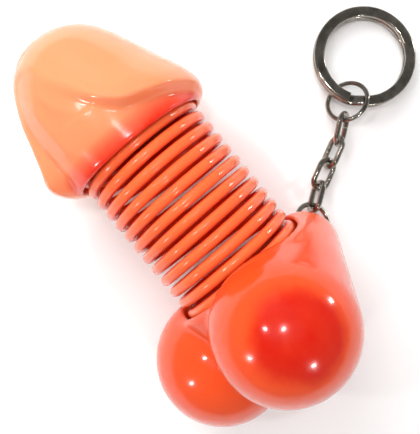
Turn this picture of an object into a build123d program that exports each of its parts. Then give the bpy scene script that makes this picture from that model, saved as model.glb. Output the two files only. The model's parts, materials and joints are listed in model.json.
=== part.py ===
from build123d import *
import math
import os

# A novelty keychain: a hollow plastic head and a hollow two-lobed base joined by an open plastic
# coil spring, with a steel chain and a split key ring on a lug behind the base.
#
# The figure is drawn in its own frame: x runs along the spring from the head (-x) to the base (+x),
# y is sideways and z points to the front. LIE then rolls it into the pose in which it rests on a
# table, and everything is shifted so that the origin is under the middle of the whole keychain.

# Driving dimensions, in millimetres and degrees
ROLL = 54.5                 # how far the resting figure is rolled about the spring's axis
AXIS_HEIGHT = 19.75         # the spring's axis above the table

WIRE = 2.35                 # the spring's round rod
COIL_RADIUS = 14.0          # the spring's axis to the middle of its rod
PITCH = 3.05
FREE_HALF_TURNS = 24
COIL_START = 7.0            # the rod's middle where the last turn rests in the base
COIL_END_GAP = 0.3          # half the gap between two half-turns, in degrees of arc

LOBE_RADIUS = 14.9
LOBE = (16.0, 13.3, 10.3)
SHOULDER_RADIUS = 8.0
SHOULDER = (8.3, 4.5, -14.0)
CORE_TOP_RADIUS = 11.3
CORE_TOP = (11.0, 0, -8.6)
CORE_LOW_RADIUS = 12.5
CORE_LOW = (13.0, 0, 4.0)
SKIN = 1.8                  # wall thickness of the hollow mouldings

SOCKET_RADIUS = 15.75       # the recess that takes the spring's end
CUP_RADIUS = 17.3           # outside of the wall round that recess
CUP_MOUTH = 5.0
SEAT_X = 8.2                # where the spring's last turn meets its plug
FLANGE = 1.8
PLUG_BOSS_RADIUS = 12.5     # a boss just inside the spring
NECK_RADIUS = 11.5          # the opening through the socket's floor

HEAD_MOUTH = -32.0
HEAD_SIDE_STEP = 1.1        # the head sits this much off the spring's axis, to its own front
HEAD_RIM_RADIUS = 18.0
HEAD_MAX_RADIUS = 19.75
HEAD_WIDEST = -36.0
HEAD_LENGTH = 31.8
HEAD_NOSE_RADIUS = 13.2

LUG_X = 6.2
LUG_BACK = 20.7             # the lug's hole, behind the spring's axis
LUG_RADIUS = 2.9
LUG_WIDTH = 3.0
LUG_HOLE_RADIUS = 1.15

RING_WIRE = 1.2
LUG_RING_RADIUS = 4.25
LUG_RING_DIP = 30.0         # the lug ring slopes down to the table by this much
LINK_WIRE = 1.35
LINK_LENGTH = 8.9
LINK_WIDTH = 5.3
LINK_HEADINGS = (124.0, 117.0, 118.0, 130.0)
LINK_ROLLS = (-68.0, 25.0, -55.0, 56.0)
LINK_PITCHES = (-14.0, 1.0, 7.0, 11.0)
FIRST_LINK_TURN = 37.0      # where on the lug ring the first link hangs, from the ring's far end
JUMP_WIRE = 1.1
JUMP_RADIUS = 4.95
JUMP_HEADING = 128.0
JUMP_ROLL = -32.0
JUMP_PITCH = -12.0
KEY_RING_OUTSIDE = 25.0
KEY_RING_BAND = 2.6         # the flat wire, across the ring
KEY_RING_LAYER = 1.4        # the flat wire, along the ring's axis
KEY_RING_HEADING = 119.0
KEY_RING_REACH = 12.0       # jump ring centre to key ring centre
KEY_RING_PITCH = -5.0
KEY_RING_STEP = 9.0         # half the arc over which the flat wire changes layer, in degrees
KEY_RING_SLIT = 0.04        # between the two layers
KEY_RING_STEP_AT = 190.0    # where that step is, from the side away from the chain
CHAIN_CLEARANCE = 0.26

LIE = Location((0, 0, AXIS_HEIGHT), (ROLL, 0, 0))


def resting(x, y, z):
    """A point of the figure's own frame, where it is when the figure lies on the table."""
    return (LIE * Location((x, y, z))).position


def polar(degrees):
    """A unit vector level with the table, at a heading from +X."""
    return Vector(math.cos(math.radians(degrees)), math.sin(math.radians(degrees)), 0)


# ---------------------------------------------------------------- hollow mouldings

def two_ball_hull(a, radius_a, b, radius_b):
    """The rounded cone that wraps a ball at a and a ball at b."""
    start, end = Vector(*a), Vector(*b)
    length = (end - start).length
    slope = math.asin((radius_a - radius_b) / length)
    touch_a = Vector(radius_a * math.sin(slope), radius_a * math.cos(slope))
    touch_b = Vector(length + radius_b * math.sin(slope), radius_b * math.cos(slope))
    mid_a = (math.pi - (math.pi / 2 - slope)) / 2 + (math.pi / 2 - slope)
    mid_b = (math.pi / 2 - slope) / 2
    outline = (
        ThreePointArc(
            (-radius_a, 0), (radius_a * math.cos(mid_a), radius_a * math.sin(mid_a)), touch_a
        )
        + Line(touch_a, touch_b)
        + ThreePointArc(
            touch_b,
            (length + radius_b * math.cos(mid_b), radius_b * math.sin(mid_b)),
            (length + radius_b, 0),
        )
        + Line((length + radius_b, 0), (-radius_a, 0))
    )
    solid = revolve(make_face(outline), Axis.X)
    across = (end - start).cross(Vector(0, 0, 1)).normalized()
    return Plane(origin=start, x_dir=end - start, z_dir=across).location * solid


def base_envelope(inset):
    """The outside of the base, pulled in by inset: two lobes, two shoulders and the core."""
    body = two_ball_hull(CORE_TOP, CORE_TOP_RADIUS - inset, CORE_LOW, CORE_LOW_RADIUS - inset)
    for side in (1, -1):
        lobe = (LOBE[0], side * LOBE[1], LOBE[2])
        shoulder = (SHOULDER[0], side * SHOULDER[1], SHOULDER[2])
        body += two_ball_hull(lobe, LOBE_RADIUS - inset, shoulder, SHOULDER_RADIUS - inset)
    return body


def x_cylinder(radius, x_from, x_to):
    """A round bar along the spring's axis."""
    middle = (x_from + x_to) / 2
    return Location((middle, 0, 0), (0, 90, 0)) * Cylinder(radius, abs(x_to - x_from))


def lug():
    """The eye behind the base that the first ring goes through; its hole runs along x."""
    eye = Location((LUG_X, 0, -LUG_BACK), (0, 90, 0)) * Cylinder(LUG_RADIUS, LUG_WIDTH)
    web = Pos(LUG_X, 0, -LUG_BACK + LUG_RADIUS) * Box(LUG_WIDTH, 2 * LUG_RADIUS, 2 * LUG_RADIUS)
    return eye + web


def base_shell():
    """One hollow moulding, open at the socket that takes the spring."""
    floor = SEAT_X + FLANGE
    cup = x_cylinder(CUP_RADIUS, CUP_MOUTH, floor + SKIN)
    body = base_envelope(0) + cup + lug()
    hollow = base_envelope(SKIN) - x_cylinder(CUP_RADIUS, -LOBE_RADIUS, floor + SKIN)
    body = body - hollow
    body -= x_cylinder(SOCKET_RADIUS, -LOBE_RADIUS, floor)
    body -= x_cylinder(NECK_RADIUS, 0, floor + 2 * SKIN)
    body -= x_cylinder(LUG_HOLE_RADIUS, LUG_X - 2 * LUG_WIDTH, LUG_X + 2 * LUG_WIDTH).moved(
        Location((0, 0, -LUG_BACK))
    )
    return body


def head_outline(inset):
    """Half of the head's outline: flared rim, straight taper and a blunt round nose."""
    tip = HEAD_MOUTH - HEAD_LENGTH
    nose_radius = HEAD_NOSE_RADIUS - inset
    nose_centre = tip + HEAD_NOSE_RADIUS
    taper = math.asin((HEAD_MAX_RADIUS - HEAD_NOSE_RADIUS) / (HEAD_WIDEST - nose_centre))
    touch = (nose_centre - nose_radius * math.sin(taper), nose_radius * math.cos(taper))
    mid = (math.pi / 2 - taper) / 2
    nose_mid = (nose_centre - nose_radius * math.cos(mid), nose_radius * math.sin(mid))
    shoulder = (HEAD_WIDEST, HEAD_MAX_RADIUS - inset)
    rim = (HEAD_MOUTH - inset, HEAD_RIM_RADIUS - inset)
    return (
        ThreePointArc((tip + inset, 0), nose_mid, touch)
        + Spline(
            touch, shoulder, rim, tangents=[(math.cos(taper), math.sin(taper)), (0.45, -1.0)]
        )
        + Line(rim, (HEAD_MOUTH - inset, 0))
        + Line((HEAD_MOUTH - inset, 0), (tip + inset, 0))
    )


def head_shell():
    """One hollow moulding, open at the back where it takes the spring."""
    shift = Location((0, -math.cos(math.radians(ROLL)), math.sin(math.radians(ROLL))))
    aside = Location(shift.position * HEAD_SIDE_STEP)
    outside = aside * revolve(make_face(head_outline(0)), Axis.X)
    inside = aside * revolve(make_face(head_outline(SKIN)), Axis.X)
    floor = head_seat_x() - FLANGE
    solid_rim = x_cylinder(2 * HEAD_MAX_RADIUS, HEAD_MOUTH + SKIN, floor - SKIN)
    body = outside - (inside - solid_rim)
    body -= x_cylinder(SOCKET_RADIUS, HEAD_MOUTH + SKIN, floor)
    body -= x_cylinder(NECK_RADIUS, HEAD_MOUTH, floor - 2 * SKIN)
    return body


def head_seat_x():
    """Where the spring's first turn meets the plug in the head."""
    turns = FREE_HALF_TURNS / 2 + 2
    return COIL_START - turns * PITCH - (SEAT_X - COIL_START)


def spring_plug(seat, towards_spring):
    """The disc that closes a moulding and carries the spring's end turn on a shallow boss."""
    flange = x_cylinder(SOCKET_RADIUS - 0.05, seat, seat - towards_spring * FLANGE)
    boss = x_cylinder(PLUG_BOSS_RADIUS, seat, seat + towards_spring * WIRE)
    dish = x_cylinder(PLUG_BOSS_RADIUS - SKIN, seat, seat + towards_spring * WIRE)
    return flange + boss - dish


# ---------------------------------------------------------------- coil spring

def half_turn(index, end_gap=COIL_END_GAP):
    """Half a turn of the rod, counted from the base; it leans so that its ends meet the next ones."""
    side = 1 if index % 2 else -1
    low, high = COIL_START - (index + 1) * PITCH / 2, COIL_START - index * PITCH / 2
    middle = Vector((low + high) / 2, 0, 0)
    axis = Axis(middle, Vector(2 * COIL_RADIUS, side * PITCH / 2, 0))
    section = Pos(low, side * COIL_RADIUS) * Circle(WIRE / 2)
    section = section.rotate(axis, end_gap)
    return revolve(section, axis, 180 - 2 * end_gap)


def end_turn(first):
    """The full turn that is fixed in a socket."""
    return half_turn(first, 0) + half_turn(first + 1, 0)


def pivot_x(number):
    """The x of free half-turn 1, 2, ... (counted from the base), where its joint is."""
    return COIL_START - (number + 1.5) * PITCH / 2


# ---------------------------------------------------------------- chain

def wire_ring(radius, wire):
    """A closed round ring in the XY plane."""
    return Torus(radius, wire / 2)


def chain_link():
    """An oval link in the XY plane, its length along X."""
    bow = (LINK_WIDTH - LINK_WIRE) / 2
    straight = LINK_LENGTH - LINK_WIDTH
    link = None
    for side in (1, -1):
        section = Pos(side * straight / 2, -side * bow) * (Rot(0, 90, 0) * Circle(LINK_WIRE / 2))
        axis = Axis((side * straight / 2, 0, 0), (0, 0, 1))
        end = revolve(section, axis, 180)
        bar = Location((0, side * bow, 0), (0, 90, 0)) * Cylinder(LINK_WIRE / 2, straight)
        link = end + bar if link is None else link + end + bar
    return link


def split_ring():
    """A key ring of two turns of flat wire, which change layer at one short step."""
    middle = (KEY_RING_OUTSIDE - KEY_RING_BAND) / 2
    rise = (KEY_RING_LAYER + KEY_RING_SLIT) / 2
    strip = RectangleRounded(KEY_RING_BAND, KEY_RING_LAYER, KEY_RING_LAYER * 0.35)

    def section(angle, height):
        upright = Pos(middle, 0, height) * (Rot(90, 0, 0) * strip)
        return upright.rotate(Axis.Z, angle)

    sweep_angle = 359 - 2 * KEY_RING_STEP
    lower = revolve(section(KEY_RING_STEP + 1, -rise), Axis.Z, sweep_angle)
    upper = revolve(section(KEY_RING_STEP, rise), Axis.Z, sweep_angle)
    step = loft([section(-KEY_RING_STEP, -rise), section(KEY_RING_STEP, rise)])
    return (lower + step + upper).rotate(Axis.Z, KEY_RING_STEP_AT)


class Place:
    """Where a chain piece lies: its centre, its heading and its sideways direction."""

    def __init__(self, start, reach, heading, roll, pitch):
        level_ahead = polar(heading)
        sideways = Vector(0, 0, 1).cross(level_ahead)
        tip, turn = math.radians(pitch), math.radians(roll)
        self.ahead = level_ahead * math.cos(tip) + Vector(0, 0, 1) * math.sin(tip)
        up = self.ahead.cross(sideways)
        self.across = sideways * math.cos(turn) + up * math.sin(turn)
        self.centre = start + self.ahead * reach

    def location(self):
        normal = self.ahead.cross(self.across)
        return Plane(origin=self.centre, x_dir=self.ahead, z_dir=normal).location

    def point(self, along):
        return self.centre + self.ahead * along


def lug_ring_place():
    """The first ring hangs from the lug's hole and slopes down to the table."""
    return Place(resting(LUG_X, 0, -LUG_BACK), LUG_RING_RADIUS, 90, 0, -LUG_RING_DIP)


def first_link_point(ring):
    """The middle of the lug ring's wire where the first link holds it, and the wire's direction there."""
    turn = math.radians(FIRST_LINK_TURN)
    radial = ring.ahead * math.cos(turn) + ring.across * math.sin(turn)
    tangent = ring.across * math.cos(turn) - ring.ahead * math.sin(turn)
    return ring.centre + radial * LUG_RING_RADIUS, tangent


def chain_layout():
    """The places of the chain's pieces, and the hinge of each on the one before: (point, axis)."""
    ring = lug_ring_place()
    places = {"lug_ring": ring}
    hinges = {"lug_ring": (resting(LUG_X, 0, -LUG_BACK), Vector(1, 0, 0))}
    hold, axis = first_link_point(ring)
    holding_wire = RING_WIRE
    bow = (LINK_LENGTH - LINK_WIRE) / 2
    for number, (heading, roll, pitch) in enumerate(
        zip(LINK_HEADINGS, LINK_ROLLS, LINK_PITCHES), start=1
    ):
        reach = bow - (holding_wire + LINK_WIRE) / 2 - CHAIN_CLEARANCE
        link = Place(hold, reach, heading, roll, pitch)
        places[f"chain_link_{number}"] = link
        hinges[f"chain_link_{number}"] = (hold, axis)
        hold, axis, holding_wire = link.point(bow), link.across, LINK_WIRE
    reach = JUMP_RADIUS - (LINK_WIRE + JUMP_WIRE) / 2 - 2 * CHAIN_CLEARANCE
    jump = Place(hold, reach, JUMP_HEADING, JUMP_ROLL, JUMP_PITCH)
    places["jump_ring"] = jump
    hinges["jump_ring"] = (hold, axis)
    key = Place(jump.centre, KEY_RING_REACH, KEY_RING_HEADING, 0, KEY_RING_PITCH)
    places["split_ring"] = key
    hinges["split_ring"] = (key.point((KEY_RING_BAND - KEY_RING_OUTSIDE) / 2), key.across)
    return places, hinges


# ---------------------------------------------------------------- the whole keychain

def figure_pieces():
    """The plastic pieces, in the figure's own frame."""
    pieces = {
        "base_shell": base_shell(),
        "base_plug": spring_plug(SEAT_X, -1),
        "coil_base_end": end_turn(0),
        "head_shell": head_shell(),
        "head_plug": spring_plug(head_seat_x(), 1),
        "coil_head_end": end_turn(FREE_HALF_TURNS + 2),
    }
    for number in range(1, FREE_HALF_TURNS + 1):
        pieces[f"coil_half_{number:02d}"] = half_turn(number + 1)
    return pieces


def chain_pieces(places):
    """The steel pieces, where they lie."""
    pieces = {
        "lug_ring": wire_ring(LUG_RING_RADIUS, RING_WIRE),
        "jump_ring": wire_ring(JUMP_RADIUS, JUMP_WIRE),
        "split_ring": split_ring(),
    }
    link = chain_link()
    for number in range(1, len(LINK_HEADINGS) + 1):
        pieces[f"chain_link_{number}"] = link
    return {name: places[name].location() * solid for name, solid in pieces.items()}


chain_places, chain_hinges = chain_layout()
pieces = {name: LIE * solid for name, solid in figure_pieces().items()}
pieces.update(chain_pieces(chain_places))

# The origin goes under the middle of the whole keychain, on the table.
boxes = [solid.bounding_box() for solid in pieces.values()]
low = [min(tuple(box.min)[side] for box in boxes) for side in range(3)]
high = [max(tuple(box.max)[side] for box in boxes) for side in range(3)]
ORIGIN = Vector((low[0] + high[0]) / 2, (low[1] + high[1]) / 2, low[2])
pieces = {name: Location(-ORIGIN) * solid for name, solid in pieces.items()}

os.makedirs("parts", exist_ok=True)
for name, solid in pieces.items():
    export_step(solid, f"parts/{name}.step")
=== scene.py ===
import json
import math

import bpy
import numpy as np
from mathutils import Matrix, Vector


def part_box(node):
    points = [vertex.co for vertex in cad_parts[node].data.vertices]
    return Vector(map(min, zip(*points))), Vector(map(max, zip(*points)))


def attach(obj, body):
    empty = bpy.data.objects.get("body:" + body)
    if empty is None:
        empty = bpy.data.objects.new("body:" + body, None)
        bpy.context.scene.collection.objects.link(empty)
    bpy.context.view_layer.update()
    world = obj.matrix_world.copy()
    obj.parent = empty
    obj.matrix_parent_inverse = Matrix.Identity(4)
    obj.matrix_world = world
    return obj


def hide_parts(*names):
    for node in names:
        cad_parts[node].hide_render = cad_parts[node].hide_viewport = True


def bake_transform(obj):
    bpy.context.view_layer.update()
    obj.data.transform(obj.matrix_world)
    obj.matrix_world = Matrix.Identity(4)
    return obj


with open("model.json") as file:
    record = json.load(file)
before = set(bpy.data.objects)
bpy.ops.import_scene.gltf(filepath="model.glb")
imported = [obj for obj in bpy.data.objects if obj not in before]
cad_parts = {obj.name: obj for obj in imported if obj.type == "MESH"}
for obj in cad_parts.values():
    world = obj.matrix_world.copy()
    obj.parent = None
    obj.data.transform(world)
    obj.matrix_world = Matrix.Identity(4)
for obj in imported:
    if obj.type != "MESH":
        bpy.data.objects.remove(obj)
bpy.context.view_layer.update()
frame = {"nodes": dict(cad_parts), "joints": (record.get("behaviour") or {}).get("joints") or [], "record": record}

# A novelty keychain at rest on a table. Shapes are worked out in millimetres in the figure's own
# frame (x along the spring from head to base, y to its side, z to its front) and then laid in the
# row frame, in metres.

scene = bpy.context.scene
scene.view_settings.view_transform = "Standard"

MM = 0.001
TAU = 2 * math.pi

# ---------------------------------------------------------------- sizes shared with the CAD, in mm

WIRE = 2.35
COIL_RADIUS = 14.0
PITCH = 3.05
FREE_HALF_TURNS = 24
COIL_START = 7.0

LOBES = ((1, 15.4, 14.75, 8.0), (-1, 16.0, 14.85, 7.9))  # side, x, radius, shoulder radius
LOBE_SIDE = 13.3
LOBE_FRONT = 10.3
SHOULDER = (8.3, 4.5, -14.0)
CORE_TOP_RADIUS = 11.3
CORE_TOP = (11.0, 0.0, -8.6)
CORE_LOW_RADIUS = 12.5
CORE_LOW = (13.0, 0.0, 4.0)
SOCKET_RADIUS = 15.75
SOCKET_FLOOR = 10.05
CUP_RADIUS = 17.3
CUP = (3.3, 11.8)
LUG_X = 6.2
LUG_BACK = 20.7
LUG_RADIUS = 2.9
LUG_WIDTH = 3.0
LUG_HOLE_RADIUS = 1.15

HEAD_MOUTH = -31.3
HEAD_FLOOR = -38.75
SOCKET_WALL = 16.6

RING_WIRE = 1.2
LUG_RING_RADIUS = 4.25
LINK_WIRE = 1.35
LINK_LENGTH = 8.9
LINK_WIDTH = 5.3
JUMP_WIRE = 1.1
JUMP_RADIUS = 4.95
KEY_RING_OUTSIDE = 25.0
KEY_RING_BAND = 2.6
KEY_RING_LAYER = 1.4
KEY_RING_SLIT = 0.04
KEY_RING_STEP = 9.0
KEY_RING_STEP_AT = 190.0

# ---------------------------------------------------------------- frames

JOINTS = {joint["name"]: joint for joint in frame["joints"]}


def unit(vector):
    vector = np.asarray(vector, float)
    return vector / np.linalg.norm(vector)


ALONG = np.array([1.0, 0.0, 0.0])
SIDE = unit(JOINTS["nod_1"]["axis"])
FRONT = unit(JOINTS["sway_1"]["axis"])
FIRST_PIVOT = COIL_START - 2.5 * PITCH / 2
FIGURE_ORIGIN = np.array(JOINTS["nod_1"]["pos_m"]) - FIRST_PIVOT * MM * ALONG
FIGURE_AXES = np.array([ALONG, SIDE, FRONT])


def laid(points):
    """Figure millimetres to row metres."""
    return FIGURE_ORIGIN + (np.asarray(points, float) @ FIGURE_AXES) * MM


# ---------------------------------------------------------------- meshes

def add_mesh(name, points, faces, material, painted_shade=None, sharp=None):
    """A smooth object from row-frame points, with an optional per-point painted shade number for its material."""
    mesh = bpy.data.meshes.new(name)
    mesh.from_pydata(np.asarray(points).tolist(), [], [list(map(int, f)) for f in faces])
    mesh.validate()
    mesh.update()
    mesh.polygons.foreach_set("use_smooth", [True] * len(mesh.polygons))
    if sharp is not None:
        mesh.set_sharp_from_angle(angle=math.radians(sharp))
    if painted_shade is not None:
        # The per-point number is painted shade, read by the material.
        attribute = mesh.attributes.new("painted_shade", "FLOAT", "POINT")
        attribute.data.foreach_set("value", np.asarray(painted_shade, np.float32))
    mesh.materials.append(material)
    piece = bpy.data.objects.new(name, mesh)
    scene.collection.objects.link(piece)
    return piece


def swept(path, outward, section):
    """A bar of one section along a path: (points, faces). outward is the section's first direction."""
    path, outward = np.asarray(path, float), np.asarray(outward, float)
    along = np.gradient(path, axis=0)
    along /= np.linalg.norm(along, axis=1)[:, None]
    outward = outward - (outward * along).sum(1)[:, None] * along
    outward /= np.linalg.norm(outward, axis=1)[:, None]
    third = np.cross(along, outward)
    section = np.asarray(section, float)
    points = (
        path[:, None] + section[None, :, :1] * outward[:, None] + section[None, :, 1:] * third[:, None]
    )
    rows, around = len(path), len(section)
    faces = []
    for row in range(rows - 1):
        here, there = row * around, (row + 1) * around
        for i in range(around):
            j = (i + 1) % around
            faces.append((here + i, here + j, there + j, there + i))
    faces.append(tuple(range(around))[::-1])
    faces.append(tuple((rows - 1) * around + i for i in range(around)))
    return points.reshape(-1, 3), faces


def circle_section(radius, count):
    angles = np.arange(count) * TAU / count
    return np.stack([radius * np.cos(angles), radius * np.sin(angles)], 1)


def smooth_min(a, b, reach):
    h = np.maximum(reach - np.abs(a - b), 0) / reach
    return np.minimum(a, b) - h * h * reach / 4


def smooth_max(a, b, reach):
    return -smooth_min(-a, -b, reach)


def two_ball_hull(p, a, b, radius_a, radius_b):
    """Distance to the rounded cone that wraps two balls."""
    a, b = np.asarray(a, float), np.asarray(b, float)
    ba = b - a
    l2 = ba @ ba
    rr = radius_a - radius_b
    a2 = l2 - rr * rr
    pa = p - a
    y = pa @ ba
    z = y - l2
    x2 = ((pa * l2 - y[:, None] * ba) ** 2).sum(1)
    y2, z2 = y * y * l2, z * z * l2
    k = np.sign(rr) * rr * rr * x2
    far = np.sqrt(x2 + z2) / l2 - radius_b
    near = np.sqrt(x2 + y2) / l2 - radius_a
    middle = (np.sqrt(x2 * a2 / l2) + y * rr) / l2 - radius_a
    return np.where(np.sign(z) * a2 * z2 > k, far, np.where(np.sign(y) * a2 * y2 < k, near, middle))


def x_bar(p, centre, radius, low, high, edge):
    """Distance to a round bar along x with rounded edges."""
    across = np.hypot(p[:, 1] - centre[0], p[:, 2] - centre[1]) - (radius - edge)
    along = np.abs(p[:, 0] - (low + high) / 2) - ((high - low) / 2 - edge)
    outside = np.hypot(np.maximum(across, 0), np.maximum(along, 0))
    return outside + np.minimum(np.maximum(across, along), 0) - edge


def net_of(field, low, high, step):
    """A closed quad net on field == 0, where the field is negative inside: (points, faces)."""
    counts = [int(math.ceil((high[i] - low[i]) / step)) + 1 for i in range(3)]
    lines = [low[i] + step * np.arange(counts[i]) for i in range(3)]
    grid = np.stack(np.meshgrid(*lines, indexing="ij"), -1).reshape(-1, 3)
    values = np.concatenate([field(part) for part in np.array_split(grid, 16)]).reshape(counts)
    corners = [(i, j, k) for i in (0, 1) for j in (0, 1) for k in (0, 1)]
    cells = tuple(n - 1 for n in counts)

    def at(corner):
        return values[tuple(slice(c, c + n) for c, n in zip(corner, cells))]

    inside = sum((at(c) < 0).astype(int) for c in corners)
    mixed = (inside > 0) & (inside < 8)
    number = np.full(cells, -1)
    number[mixed] = np.arange(mixed.sum())
    total, hits = np.zeros((mixed.sum(), 3)), np.zeros(mixed.sum())
    for a in corners:
        for axis in range(3):
            if a[axis]:
                continue
            b = tuple(c + (d == axis) for d, c in enumerate(a))
            va, vb = at(a)[mixed], at(b)[mixed]
            crossed = (va < 0) != (vb < 0)
            share = np.where(crossed, va / np.where(crossed, va - vb, 1), 0)
            point = np.array(a, float) + share[:, None] * np.eye(3)[axis]
            total += point * crossed[:, None]
            hits += crossed
    points = np.asarray(low) + step * (np.argwhere(mixed) + total / hits[:, None])
    for _ in range(5):
        slope = np.stack([
            field(points + h) - field(points - h) for h in np.eye(3) * 0.02
        ], 1) / 0.04
        move = -(field(points) / np.maximum((slope ** 2).sum(1), 1e-6))[:, None] * slope
        length = np.linalg.norm(move, axis=1)
        points += move * np.minimum(1, step / 2 / np.maximum(length, 1e-9))[:, None]
    faces = []
    for axis in range(3):
        u, v = (axis + 1) % 3, (axis + 2) % 3
        one = np.moveaxis(values, (axis, u, v), (0, 1, 2)) < 0
        cell = np.moveaxis(number, (axis, u, v), (0, 1, 2))
        start, end = one[:-1, 1:-1, 1:-1], one[1:, 1:-1, 1:-1]
        around = [cell[:, :-1, :-1], cell[:, 1:, :-1], cell[:, 1:, 1:], cell[:, :-1, 1:]]
        for chosen, order in ((start & ~end, (0, 1, 2, 3)), (~start & end, (3, 2, 1, 0))):
            faces.append(np.stack([around[i][chosen] for i in order], 1))
    return points, np.concatenate(faces)


# ---------------------------------------------------------------- materials

class Nodes:
    """A material's node tree, with short calls to add to it."""

    def __init__(self, name):
        self.material = bpy.data.materials.new(name)
        self.material.use_nodes = True
        self.tree = self.material.node_tree
        self.shader = self.tree.nodes["Principled BSDF"]
        self.place = self.add("ShaderNodeTexCoord").outputs["Object"]

    def add(self, kind, **settings):
        node = self.tree.nodes.new(kind)
        for key, value in settings.items():
            setattr(node, key, value)
        return node

    def link(self, source, target):
        self.tree.links.new(source, target)

    def feed(self, socket, value):
        if hasattr(value, "is_linked"):
            self.link(value, socket)
        else:
            socket.default_value = value

    def noise(self, scale, detail=3.0, roughness=0.5, distortion=0.0, place=None):
        node = self.add("ShaderNodeTexNoise")
        self.link(place or self.place, node.inputs["Vector"])
        for key, value in (
            ("Scale", scale), ("Detail", detail), ("Roughness", roughness), ("Distortion", distortion)
        ):
            node.inputs[key].default_value = value
        return node.outputs["Fac"]

    def spread(self, value, low, high, to_low=0.0, to_high=1.0, smooth=False):
        node = self.add("ShaderNodeMapRange")
        node.interpolation_type = "SMOOTHSTEP" if smooth else "LINEAR"
        for index, item in enumerate((value, low, high, to_low, to_high)):
            self.feed(node.inputs[index], item)
        return node.outputs["Result"]

    def maths(self, operation, a, b=0.0):
        node = self.add("ShaderNodeMath", operation=operation)
        self.feed(node.inputs[0], a)
        self.feed(node.inputs[1], b)
        return node.outputs[0]

    def mixed(self, share, a, b, blend="MIX"):
        node = self.add("ShaderNodeMix", data_type="RGBA", blend_type=blend)
        self.feed(node.inputs["Factor"], share)
        for socket, value in ((node.inputs[6], a), (node.inputs[7], b)):
            self.feed(socket, value if hasattr(value, "is_linked") else (*value, 1.0))
        return node.outputs[2]

    # The per-point painted shade number, read from the mesh.
    def painted_shade(self):
        return self.add("ShaderNodeAttribute", attribute_name="painted_shade").outputs["Fac"]

    def distance(self, point, stretch=(1.0, 1.0, 1.0)):
        """Distance from a point of the row frame, in metres, longer along some axes."""
        shift = self.add("ShaderNodeVectorMath", operation="SUBTRACT")
        self.link(self.place, shift.inputs[0])
        shift.inputs[1].default_value = point
        scaled = self.add("ShaderNodeVectorMath", operation="MULTIPLY")
        self.link(shift.outputs[0], scaled.inputs[0])
        scaled.inputs[1].default_value = stretch
        length = self.add("ShaderNodeVectorMath", operation="LENGTH")
        self.link(scaled.outputs[0], length.inputs[0])
        return length.outputs["Value"]

    def bumps(self, *layers):
        """Bump layers of (height, depth in metres), one on the other."""
        normal = None
        for height, depth in layers:
            node = self.add("ShaderNodeBump")
            node.inputs["Strength"].default_value = 1.0
            node.inputs["Distance"].default_value = depth
            self.link(height, node.inputs["Height"])
            if normal is not None:
                self.link(normal, node.inputs["Normal"])
            normal = node.outputs["Normal"]
        self.link(normal, self.shader.inputs["Normal"])

    def set(self, **values):
        for key, value in values.items():
            self.feed(self.shader.inputs[key.replace("_", " ")], value)


def gloss_plastic(name, colour_of, glow, scatter=0.12, wave=0.00005):
    """Moulded, glossy, slightly translucent plastic with a clear top coat."""
    m = Nodes(name)
    colour = colour_of(m)
    mottle = m.spread(m.noise(160, 4, 0.6), 0.35, 0.7, 0.0, 0.16)
    colour = m.mixed(mottle, colour, glow)
    specks = m.spread(m.noise(2600, 2, 0.5), 0.62, 0.74, 0.0, 0.22)
    colour = m.mixed(specks, colour, tuple(c * 0.55 for c in glow))
    m.link(colour, m.shader.inputs["Base Color"])
    smears = m.noise(220, 5, 0.65, 0.6)
    m.link(m.spread(smears, 0.35, 0.75, 0.13, 0.26), m.shader.inputs["Roughness"])
    m.set(IOR=1.46, Specular_IOR_Level=0.4, Subsurface_Weight=scatter)
    m.shader.inputs["Subsurface Radius"].default_value = (1.0, 0.28, 0.12)
    m.shader.inputs["Subsurface Scale"].default_value = 0.0025
    m.shader.inputs["Coat Weight"].default_value = 0.28
    m.shader.inputs["Coat Roughness"].default_value = 0.045
    m.bumps((m.noise(90, 2, 0.5), wave * 4), (m.noise(1500, 3, 0.5), 0.000006))
    return m.material


def base_colour(m):
    """Coral, with a red-orange patch sprayed on each lobe's end and a paler painted reflection by the lug."""
    coral, pale, deep = (0.76, 0.062, 0.009), (0.80, 0.115, 0.042), (0.56, 0.006, 0.0002)
    soft = m.noise(120, 3, 0.6)
    cloud = m.spread(m.noise(45, 2, 0.5), 0.3, 0.7)
    colour = m.mixed(cloud, coral, (0.78, 0.078, 0.014))
    # Painted reflection: the colour goes paler towards the lug, where the white surroundings show on that edge.
    back = m.distance(tuple(laid([LUG_X, 5.0, -16.0])))
    colour = m.mixed(m.spread(back, 0.010, 0.026, 0.8, 0.0, True), colour, pale)
    for end in ((15.0, 26.2, 17.8), (20.5, -24.8, 15.3)):
        away = m.distance(tuple(laid(end)))
        ragged = m.maths("ADD", away, m.maths("MULTIPLY", soft, 0.0045))
        patch = m.spread(ragged, 0.0088, 0.0128, 0.97, 0.0, True)
        colour = m.mixed(patch, colour, deep)
    return colour


def head_colour(m):
    """Peach, going to a painted shade of orange under the rim and a painted shade of red where the spring goes in.
    The painted shade number is 1 on the cap.
    """
    peach, orange, red = (0.94, 0.30, 0.135), (0.93, 0.24, 0.10), (0.80, 0.012, 0.0005)
    painted_shade = m.painted_shade()
    lower = m.mixed(m.spread(painted_shade, 0.0, 0.4), red, orange)
    return m.mixed(m.spread(painted_shade, 0.3, 1.0), lower, peach)


def coil_colour(m):
    """Orange on the outside of each turn, with painted shade: red on the rod's sides and inside, between the
    turns.
    """
    return m.mixed(m.spread(m.painted_shade(), 0.0, 1.0), (0.93, 0.145, 0.040), (0.95, 0.040, 0.006))


def plug_colour(m):
    return m.mixed(m.spread(m.noise(60, 2, 0.5), 0.3, 0.7), (0.80, 0.07, 0.02), (0.85, 0.10, 0.03))


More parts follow.
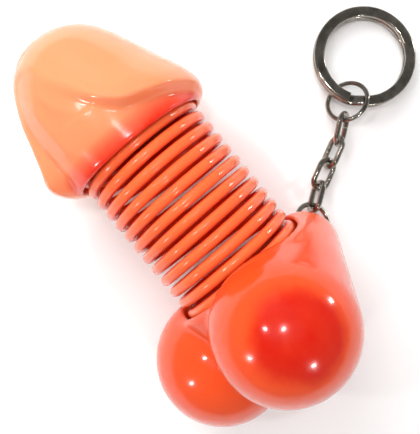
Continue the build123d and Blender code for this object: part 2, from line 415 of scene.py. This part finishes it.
def steel(name):
    """Nickel-plated steel, lightly tarnished, with fine drawn lines and small pits."""
    m = Nodes(name)
    dull = m.spread(m.noise(300, 4, 0.6), 0.35, 0.7)
    m.link(m.mixed(dull, (0.44, 0.41, 0.36), (0.20, 0.18, 0.15)), m.shader.inputs["Base Color"])
    m.link(m.spread(m.noise(700, 4, 0.7), 0.3, 0.75, 0.09, 0.26), m.shader.inputs["Roughness"])
    m.set(Metallic=1.0)
    m.bumps((m.noise(1800, 3, 0.6), 0.00001), (m.noise(420, 2, 0.5), 0.00003))
    return m.material


BASE_PLASTIC = gloss_plastic("base_plastic", base_colour, (0.80, 0.09, 0.03))
HEAD_PLASTIC = gloss_plastic("head_plastic", head_colour, (0.93, 0.30, 0.15))
COIL_PLASTIC = gloss_plastic("coil_plastic", coil_colour, (0.93, 0.13, 0.04), scatter=0.2)
PLUG_PLASTIC = gloss_plastic("plug_plastic", plug_colour, (0.80, 0.06, 0.02))
STEEL = steel("nickel_steel")


# ---------------------------------------------------------------- the base

def base_field(p):
    body = two_ball_hull(p, CORE_TOP, CORE_LOW, CORE_TOP_RADIUS, CORE_LOW_RADIUS)
    body = smooth_min(body, x_bar(p, (0, 0), CUP_RADIUS, CUP[0], CUP[1], 1.1), 2.0)
    for side, lobe_x, lobe_radius, shoulder_radius in LOBES:
        lobe = two_ball_hull(
            p,
            (lobe_x, side * LOBE_SIDE, LOBE_FRONT),
            (SHOULDER[0], side * SHOULDER[1], SHOULDER[2]),
            lobe_radius,
            shoulder_radius,
        )
        body = smooth_min(body, lobe, 1.8)
    eye = x_bar(
        p, (0, -LUG_BACK), LUG_RADIUS, LUG_X - LUG_WIDTH / 2, LUG_X + LUG_WIDTH / 2, 0.6
    )
    body = smooth_min(body, eye, 1.2)
    hole = np.hypot(p[:, 1], p[:, 2] + LUG_BACK) - LUG_HOLE_RADIUS
    body = smooth_max(body, -hole, 0.5)
    socket = np.maximum(np.hypot(p[:, 1], p[:, 2]) - SOCKET_RADIUS, p[:, 0] - SOCKET_FLOOR)
    return smooth_max(body, -socket, 0.7)


base_points, base_faces = net_of(base_field, (-2, -30, -25), (33, 30, 27), 0.45)
base_shell = add_mesh("base_shell_skin", laid(base_points), base_faces, BASE_PLASTIC)
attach(base_shell, "base")
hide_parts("base_shell")

# ---------------------------------------------------------------- the head

# Its points are worked out as x, left (row -Y) and up (row +Z), from the spring's axis.

HEAD_PROFILE = np.array([
    (-63.4, 0.0), (-63.0, 3.3), (-61.7, 6.4), (-60.5, 8.3), (-59.2, 9.9), (-57.9, 11.0),
    (-56.6, 12.0), (-54.4, 13.2), (-52.3, 14.2), (-50.2, 15.1), (-48.1, 15.9), (-45.9, 16.6),
    (-43.7, 17.4), (-41.5, 18.3), (-39.3, 19.2), (-37.1, 20.0), (-35.0, 20.1), (-32.8, 19.0),
    (-30.6, 16.4),
])
RECESS_PROFILE = np.array([
    (-62.0, 6.8), (-58.0, 11.3), (-55.0, 13.0), (-52.0, 14.3), (-49.0, 15.3), (-46.0, 16.0),
    (-43.0, 16.4), (-40.0, 16.6), (-37.0, 16.6), (-34.0, 16.5), (-31.0, 16.5),
])
UNDERSIDE = 1.022         # how much the head is pressed in below, where it meets the table
VENTRAL = 35.0            # the head's front, from row +Z towards row -Y, in degrees
RIM = np.array([
    (-180, -31.0), (-125, -31.6), (-100, -33.6), (-80, -35.4), (-60, -36.8), (-48, -38.2),
    (-38, -41.5), (-29, -46.3), (-18, -51.5), (-4, -56.2), (8, -57.4), (17, -56.4), (23, -52.5),
    (26, -47.5), (28, -42.0), (32, -37.0), (38, -33.5), (46, -31.4), (70, -31.0), (110, -31.0),
    (180, -31.0),
])


def blurred(values, spacing, width, wrap=False):
    """A list smoothed with a bell curve of that width."""
    reach = int(4 * width / spacing)
    bell = np.exp(-0.5 * (np.arange(-reach, reach + 1) * spacing / width) ** 2)
    if wrap:
        padded = np.pad(values, reach, mode="wrap")
    else:
        padded = np.pad(values, reach, mode="reflect", reflect_type="odd")
    return np.convolve(padded, bell / bell.sum(), "valid")


PROFILE_X = np.arange(-70, -25, 0.1)


def squared_radius(profile):
    """A profile's radius squared on PROFILE_X, going on in a straight line at both ends."""
    x, square = profile[:, 0], profile[:, 1] ** 2
    values = np.interp(PROFILE_X, x, square)
    first, last = (square[1] - square[0]) / (x[1] - x[0]), (square[-1] - square[-2]) / (x[-1] - x[-2])
    values = np.where(PROFILE_X < x[0], square[0] + first * (PROFILE_X - x[0]), values)
    values = np.where(PROFILE_X > x[-1], square[-1] + last * (PROFILE_X - x[-1]), values)
    return blurred(values, 0.1, 0.9)


CAP_SQUARE = squared_radius(HEAD_PROFILE)
RECESS_SQUARE = squared_radius(RECESS_PROFILE)
RIM_ANGLE = np.arange(-180, 180, 1.0)
RIM_X = blurred(np.interp(RIM_ANGLE, RIM[:, 0], RIM[:, 1]), 1.0, 3.0, wrap=True)
RIM_SLOPE = np.gradient(np.concatenate([RIM_X[-1:], RIM_X, RIM_X[:1]]))[1:-1]


def step_up(value):
    value = np.clip(value, 0, 1)
    return value * value * (3 - 2 * value)


def head_parts(p):
    """Radius, angle, cap radius squared and distance past the rim, of points (x, left, up)."""
    centre = 0.2 + step_up((HEAD_MOUTH - p[:, 0]) / 6) + 0.8 * step_up((-38 - p[:, 0]) / 14)
    left, up = p[:, 1] - centre, p[:, 2] * np.where(p[:, 2] < 0, UNDERSIDE, 1.0)
    radius = np.hypot(left, up)
    angle = np.degrees(np.arctan2(left, up)) - VENTRAL
    angle = (angle + 180) % 360 - 180
    cap = np.interp(p[:, 0], PROFILE_X, CAP_SQUARE)
    ring = np.interp(angle, RIM_ANGLE, RIM_X, period=360)
    slope = np.interp(angle, RIM_ANGLE, RIM_SLOPE, period=360)
    per_degree = np.sqrt(np.maximum(cap, 30)) * math.pi / 180
    past = (p[:, 0] - ring) / np.sqrt(1 + (slope / per_degree) ** 2)
    return radius, angle, cap, past


def head_field(p):
    radius, angle, cap, past = head_parts(p)
    recess = np.interp(p[:, 0], PROFILE_X, RECESS_SQUARE)
    ridge = np.exp(-((angle - 4) / 5.5) ** 2)
    ridge *= step_up((p[:, 0] + 55) / 6) * step_up((-36 - p[:, 0]) / 4)
    fold = np.exp(-((angle + 12 + (p[:, 0] + 46) * 1.2) / 4.0) ** 2)
    fold *= step_up((p[:, 0] + 53) / 4) * step_up((-42 - p[:, 0]) / 4)
    recess = recess + 30 * (0.42 * ridge + 0.25 * fold)
    lip = 30 * 0.42 * np.exp(-((past + 1.3) / 1.3) ** 2) * step_up((-38 - p[:, 0]) / 6)
    share = step_up(past / 2.4 + 0.25)
    square = cap + lip * (1 - share) + np.minimum(recess - cap, 0) * share
    body = (radius ** 2 - square) / 32
    wall = np.maximum(np.hypot(p[:, 1], p[:, 2]) - SOCKET_WALL, HEAD_FLOOR - 2 - p[:, 0])
    body = smooth_min(body, wall, 1.2)
    body = smooth_max(body, p[:, 0] - HEAD_MOUTH, 0.9)
    socket = np.maximum(np.hypot(p[:, 1], p[:, 2]) - SOCKET_RADIUS, HEAD_FLOOR - p[:, 0])
    return smooth_max(body, -socket, 0.5)


head_points, head_faces = net_of(head_field, (-65, -21, -21), (-29, 23, 21), 0.42)
_, _, _, head_past = head_parts(head_points)
# Painted shade: the head goes orange under the rim's edge and red towards the spring's mouth, with a darker band
# just inside the rim. The number is 1 on the cap.
towards_spring = step_up((head_points[:, 0] + 40) / 9)
head_painted_shade = 1 - step_up(head_past / 2.6 + 0.35) * (0.30 + 0.70 * towards_spring)
head_painted_shade -= 0.25 * np.exp(-((head_past + 1.8) / 2.0) ** 2) * step_up((head_points[:, 0] + 47) / 10)
head_row = FIGURE_ORIGIN + head_points * (1, -1, 1) * MM
head_painted_shade = np.clip(head_painted_shade, 0, 1)
head_shell = add_mesh("head_shell_skin", head_row, head_faces[:, ::-1], HEAD_PLASTIC, head_painted_shade)
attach(head_shell, "head")
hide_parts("head_shell")

# ---------------------------------------------------------------- the spring

ROD_SIDES = 20
HALF_TURN_STEPS = 40
ROD_HALF_WIDTH = 1.19     # along the spring, a little over WIRE / 2
ROD_ANGLES = np.arange(ROD_SIDES) * TAU / ROD_SIDES
ROD = np.stack([
    WIRE / 2 * np.cos(ROD_ANGLES),
    ROD_HALF_WIDTH * np.sign(np.sin(ROD_ANGLES)) * np.abs(np.sin(ROD_ANGLES)) ** 0.8,
], 1)
# Painted shade round the rod: 0 on the outside of the turn, near 1 on its sides and inside, between the turns.
ROD_PAINTED_SHADE = step_up((1.0 - np.cos(ROD_ANGLES)) / 1.15)


def spring_line(first, count):
    """The rod's middle line over some half-turns, from its base end, and the way out from the axis."""
    turn = np.linspace(first, first + count, count * HALF_TURN_STEPS + 1)
    angle = math.pi * turn + math.pi
    spoke = np.stack([0 * turn, np.cos(angle), -np.sin(angle)], 1)
    return np.stack([COIL_START - turn * PITCH / 2, 0 * turn, 0 * turn], 1) + spoke * COIL_RADIUS, spoke


def spring_piece(name, first, count):
    line, spoke = spring_line(first, count)
    points, faces = swept(line, spoke, ROD)
    piece = add_mesh(name, laid(points), faces, COIL_PLASTIC, np.tile(ROD_PAINTED_SHADE, len(line)), sharp=50)
    return piece, laid(line[0]), laid(line[-1])


for number in range(1, FREE_HALF_TURNS + 1):
    piece, base_end, head_end = spring_piece(f"spring_turn_{number:02d}", number + 1, 1)
    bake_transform(piece)
    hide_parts(f"coil_half_{number:02d}")

for name, first, body in (("coil_base_end", 0, "base"), ("coil_head_end", FREE_HALF_TURNS + 2, "head")):
    piece, _, _ = spring_piece(name.replace("coil", "spring"), first, 2)
    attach(piece, body)
    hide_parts(name)

for name in ("base_plug", "head_plug"):
    frame["nodes"][name].data.materials.clear()
    frame["nodes"][name].data.materials.append(PLUG_PLASTIC)

# ---------------------------------------------------------------- the chain

CUT = 0.03                # half the seam where a link's or a ring's ends meet


def node_points(name):
    return np.array([v.co for v in frame["nodes"][name].data.vertices], float)


def middle_of(name):
    low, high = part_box(name)
    return np.array((low + high) / 2)


def flat_of(name):
    """The direction square to a flat ring or link, from how its CAD node's points spread."""
    points = node_points(name)
    spread = np.linalg.eigh(np.cov((points - points.mean(0)).T))
    return spread[1][:, 0]


def steel_piece(name, body, points, faces):
    piece = add_mesh(f"{name}_steel", points, faces, STEEL, sharp=50)
    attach(piece, body)
    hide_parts(name)


def loop_piece(name, middle, ahead, flat, straight, bow, wire, seam):
    """A round ring, or an oval link with a straight part, of round wire with a butt seam."""
    flat = unit(flat - (flat @ ahead) * ahead)
    across = np.cross(flat, ahead)
    angle = np.linspace(0, math.pi, 33)
    out = np.stack([np.sin(angle), -np.cos(angle)], 1)
    right = out * bow + (straight / 2, 0)
    left = -out * bow - (straight / 2, 0)
    bars = np.linspace(0, 1, 9)[1:-1, None] if straight else np.zeros((0, 1))
    upper = right[-1] + (left[0] - right[-1]) * bars
    lower = left[-1] + (right[0] - left[-1]) * bars
    line = np.concatenate([right, upper, left[0 if straight else 1:], lower])
    spokes = np.concatenate([out, np.tile([0, 1.0], (len(upper), 1)), -out[0 if straight else 1:],
                             np.tile([0, -1.0], (len(lower), 1))])
    if not straight:
        line, spokes = line[:-1], spokes[:-1]
    line, spokes = np.roll(line, -seam, 0), np.roll(spokes, -seam, 0)
    line, spokes = np.concatenate([line, line[:1]]), np.concatenate([spokes, spokes[:1]])
    line[0] += unit(line[1] - line[0]) * CUT
    line[-1] += unit(line[-2] - line[-1]) * CUT
    axes = np.array([ahead, across])
    points, faces = swept(middle + line @ axes * MM, spokes @ axes, circle_section(wire / 2, 18) * MM)
    steel_piece(name, name, points, faces)


HOLDS = {name: np.array(JOINTS[f"{name}_swing"]["pos_m"]) for name in (
    "lug_ring", "chain_link_1", "chain_link_2", "chain_link_3", "chain_link_4", "jump_ring", "split_ring"
)}

for name, radius, wire, seam in (
    ("lug_ring", LUG_RING_RADIUS, RING_WIRE, 14), ("jump_ring", JUMP_RADIUS, JUMP_WIRE, 12)
):
    middle = middle_of(name)
    loop_piece(name, middle, unit(middle - HOLDS[name]), flat_of(name), 0.0, radius, wire, seam)
for number in range(1, 5):
    name = f"chain_link_{number}"
    middle = middle_of(name)
    bow = (LINK_WIDTH - LINK_WIRE) / 2
    seam = 37 if number % 2 else 77
    ahead, straight = unit(middle - HOLDS[name]), LINK_LENGTH - LINK_WIDTH
    loop_piece(name, middle, ahead, flat_of(name), straight, bow, LINK_WIRE, seam)

# The key ring: two layers of flat wire with rounded edges, with one step between them.
mount = frame["record"]["mounts"][0]
key_middle, key_flat = np.array(mount["pos_m"]), unit(mount["axis"])
key_ahead = unit(key_middle - HOLDS["split_ring"])
key_across = np.cross(key_flat, key_ahead)
RING_MIDDLE = (KEY_RING_OUTSIDE - KEY_RING_BAND) / 2
RISE = (KEY_RING_LAYER + KEY_RING_SLIT) / 2
turn = np.radians(np.concatenate([
    np.linspace(KEY_RING_STEP + 1, 360 - KEY_RING_STEP, 150),
    np.linspace(360 - KEY_RING_STEP, 360 + KEY_RING_STEP, 13)[1:-1],
    np.linspace(360 + KEY_RING_STEP, 719 - KEY_RING_STEP, 150),
]))
height = RISE * (2 * step_up((np.degrees(turn) - 360 + KEY_RING_STEP) / (2 * KEY_RING_STEP)) - 1)
turn = turn + math.radians(KEY_RING_STEP_AT)
spokes = np.cos(turn)[:, None] * key_ahead + np.sin(turn)[:, None] * key_across
line = key_middle + (spokes * RING_MIDDLE + height[:, None] * key_flat) * MM
BAND_SIDES = 24
angles = np.arange(BAND_SIDES) * TAU / BAND_SIDES
section = np.stack([
    KEY_RING_BAND / 2 * np.sign(np.cos(angles)) * np.abs(np.cos(angles)) ** 0.62,
    KEY_RING_LAYER / 2 * np.sign(np.sin(angles)) * np.abs(np.sin(angles)) ** 0.62,
], 1)
points, faces = swept(line, spokes, section * MM)
steel_piece("split_ring", "split_ring", points, faces)

# ---------------------------------------------------------------- camera, lights and floor

CAMERA_TURN = math.radians(50.5)
RIGHT = np.array([math.cos(CAMERA_TURN), math.sin(CAMERA_TURN), 0.0])
UP = np.array([-math.sin(CAMERA_TURN), math.cos(CAMERA_TURN), 0.0])
OVERHEAD = np.array([0.0, 0.0, 1.0])
CAMERA_HEIGHT = 0.155

camera_data = bpy.data.cameras.new("camera")
camera_data.lens = 51.4
camera_data.sensor_width = 36.0
camera_data.clip_start = 0.005
camera_data.clip_end = 10.0
camera = bpy.data.objects.new("camera", camera_data)
camera.location = (FIGURE_ORIGIN[0] - 0.0103, FIGURE_ORIGIN[1] + 0.0020, CAMERA_HEIGHT)
camera.rotation_euler = (0.0, 0.0, CAMERA_TURN)
scene.collection.objects.link(camera)
scene.camera = camera


def softbox(name, direction, distance, size, power, mirrored=True):
    """An area light that faces the object; direction is (image right, image up, overhead).
    One that isn't mirrored lights the object without showing in its gloss."""
    data = bpy.data.lights.new(name, "AREA")
    data.shape = "RECTANGLE"
    data.size, data.size_y = size
    data.energy = power
    light = bpy.data.objects.new(name, data)
    way = unit(direction[0] * RIGHT + direction[1] * UP + direction[2] * OVERHEAD)
    target = np.array([FIGURE_ORIGIN[0], FIGURE_ORIGIN[1] + 0.005, 0.02])
    light.location = target + way * distance
    light.rotation_mode = "QUATERNION"
    light.rotation_quaternion = Vector(way).to_track_quat("Z", "Y")
    light.visible_glossy = mirrored
    scene.collection.objects.link(light)


softbox("key", (-0.45, 0.75, 0.60), 0.60, (0.40, 0.30), 2.4, mirrored=False)
softbox("overhead", (-0.10, 0.30, 0.95), 0.70, (0.60, 0.60), 2.6, mirrored=False)
softbox("window", (-0.13, 0.14, 0.98), 0.45, (0.045, 0.012), 0.35)
softbox("lamp_left", (-0.52, 0.12, 0.84), 0.45, (0.018, 0.024), 0.25)
softbox("lamp_low_left", (-0.72, -0.53, 0.45), 0.45, (0.022, 0.040), 0.30)
softbox("lamp_right", (0.50, -0.62, 0.61), 0.45, (0.036, 0.026), 0.35)
softbox("lamp_far_right", (0.844, 0.512, 0.153), 0.45, (0.04, 0.05), 0.30)

world = bpy.data.worlds.new("studio")
scene.world = world
world.use_nodes = True
tree = world.node_tree
sky = tree.nodes["Background"]
direction = tree.nodes.new("ShaderNodeTexCoord")
split = tree.nodes.new("ShaderNodeSeparateXYZ")
ramp = tree.nodes.new("ShaderNodeMapRange")
tree.links.new(direction.outputs["Generated"], split.inputs[0])
tree.links.new(split.outputs["Z"], ramp.inputs["Value"])
for index, value in enumerate((0.0, 1.0, 0.36, 0.16)):
    ramp.inputs[index + 1].default_value = value
tree.links.new(ramp.outputs["Result"], sky.inputs["Strength"])
sky.inputs["Color"].default_value = (1.0, 0.985, 0.97, 1.0)

floor_nodes = Nodes("pale_floor")
floor_nodes.link(
    floor_nodes.mixed(floor_nodes.noise(8, 3, 0.5), (0.86, 0.86, 0.86), (0.90, 0.90, 0.895)),
    floor_nodes.shader.inputs["Base Color"],
)
floor_nodes.set(Roughness=0.9, Specular_IOR_Level=0.1)
HALF_FLOOR = 1.5
FLOOR_DROP = 0.0002
floor = add_mesh(
    "floor",
    [(x * HALF_FLOOR, y * HALF_FLOOR, -FLOOR_DROP) for x, y in ((-1, -1), (1, -1), (1, 1), (-1, 1))],
    [(0, 1, 2, 3)],
    floor_nodes.material,
)
